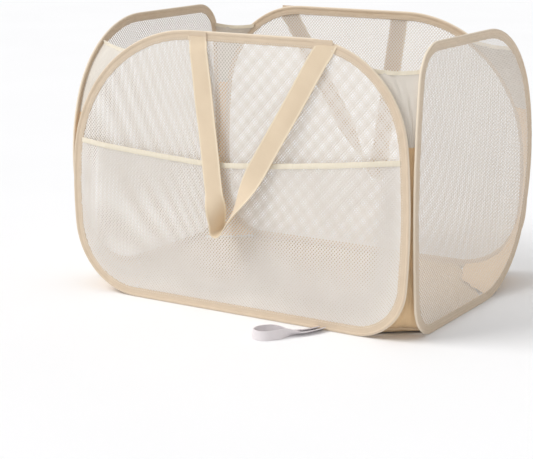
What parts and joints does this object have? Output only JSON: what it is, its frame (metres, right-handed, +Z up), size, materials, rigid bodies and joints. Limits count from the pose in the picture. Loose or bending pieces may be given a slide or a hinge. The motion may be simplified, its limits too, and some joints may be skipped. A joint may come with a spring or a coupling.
{
  "type": "laundry bag",
  "caption": "Open-topped collapsible laundry bag: net panels held by spring wire loops, with a net pocket, webbing handles and a storage elastic.",
  "frame": {"origin": "on the floor, under the middle of the bag", "axes": "+X to the right along the front panel, +Y to the back, +Z up"},
  "size_m": [0.5484, 0.4952, 0.385],
  "materials": {
    "spring_wire": "blued spring steel wire",
    "crimp_metal": "crimped metal sleeve",
    "binding_tape": "woven polyester binding tape, beige",
    "net": "open polyester warp-knit net, off-white",
    "hem_elastic": "knitted elastic tape, cream",
    "sheer_cloth": "semi-sheer polyester cloth, off-white",
    "gusset_cloth": "polyester cloth, beige",
    "webbing": "woven polyester webbing, beige",
    "bottom_cloth": "coated polyester cloth, beige",
    "storage_elastic": "knitted elastic band, white"
  },
  "bodies": {
    "front_panel": {"front_wire_loop": "spring_wire", "front_wire_sleeve": "crimp_metal", "front_binding": "binding_tape", "front_net": "net", "pocket_net": "net", "pocket_hem": "hem_elastic", "front_handle_left_end": "webbing", "front_handle_right_end": "webbing", "cloth_bottom": "bottom_cloth", "storage_elastic": "storage_elastic", "storage_elastic_tab": "storage_elastic", "front_right_lower_gusset": "gusset_cloth", "front_right_tape": "gusset_cloth", "front_right_upper_gusset": "sheer_cloth", "front_right_gusset_hem": "hem_elastic", "front_left_lower_gusset": "gusset_cloth", "front_left_tape": "gusset_cloth", "front_left_upper_gusset": "sheer_cloth", "front_left_gusset_hem": "hem_elastic"},
    "right_panel": {"right_wire_loop": "spring_wire", "right_wire_sleeve": "crimp_metal", "right_binding": "binding_tape", "right_net": "net", "back_right_lower_gusset": "gusset_cloth", "back_right_tape": "gusset_cloth", "back_right_upper_gusset": "sheer_cloth", "back_right_gusset_hem": "hem_elastic"},
    "left_panel": {"left_wire_loop": "spring_wire", "left_wire_sleeve": "crimp_metal", "left_binding": "binding_tape", "left_net": "net", "back_left_lower_gusset": "gusset_cloth", "back_left_tape": "gusset_cloth", "back_left_upper_gusset": "sheer_cloth", "back_left_gusset_hem": "hem_elastic"},
    "back_panel": {"back_wire_loop": "spring_wire", "back_wire_sleeve": "crimp_metal", "back_binding": "binding_tape", "back_net": "net", "back_handle_left_end": "webbing", "back_handle_right_end": "webbing"},
    "front_handle": {"front_handle_strap": "webbing"},
    "back_handle": {"back_handle_strap": "webbing"}
  },
  "joints": [
    {"name": "fold", "type": "hinge", "parent": "front_panel", "child": "right_panel", "pos_m": [0.2695, -0.1925, 0.2], "axis": [0, 0, 1], "range_deg": [0, 80], "stiffness_Nm_per_rad": 0.25, "deforming": ["front_right_lower_gusset", "front_right_tape", "front_right_upper_gusset", "front_right_gusset_hem", "cloth_bottom"]},
    {"name": "left_fold", "type": "hinge", "parent": "front_panel", "child": "left_panel", "pos_m": [-0.272, -0.195, 0.2], "axis": [0, 0, 1], "range_deg": [0, 80], "deforming": ["front_left_lower_gusset", "front_left_tape", "front_left_upper_gusset", "front_left_gusset_hem", "back_left_lower_gusset", "back_left_tape", "back_left_upper_gusset", "back_left_gusset_hem"]},
    {"name": "back_fold", "type": "hinge", "parent": "right_panel", "child": "back_panel", "pos_m": [0.272, 0.195, 0.2], "axis": [0, 0, 1], "range_deg": [-80, 0], "deforming": ["back_right_lower_gusset", "back_right_tape", "back_right_upper_gusset", "back_right_gusset_hem"]},
    {"name": "front_handle_swing", "type": "hinge", "parent": "front_panel", "child": "front_handle", "pos_m": [0.046, -0.2, 0.371], "axis": [-1, 0, 0], "range_deg": [0, 175]},
    {"name": "back_handle_swing", "type": "hinge", "parent": "back_panel", "child": "back_handle", "pos_m": [-0.046, 0.2, 0.371], "axis": [1, 0, 0], "range_deg": [0, 175]}
  ],
  "couplings": [
    {"joint": "left_fold", "follows": "fold", "ratio": 1},
    {"joint": "back_fold", "follows": "fold", "ratio": -1}
  ]
}
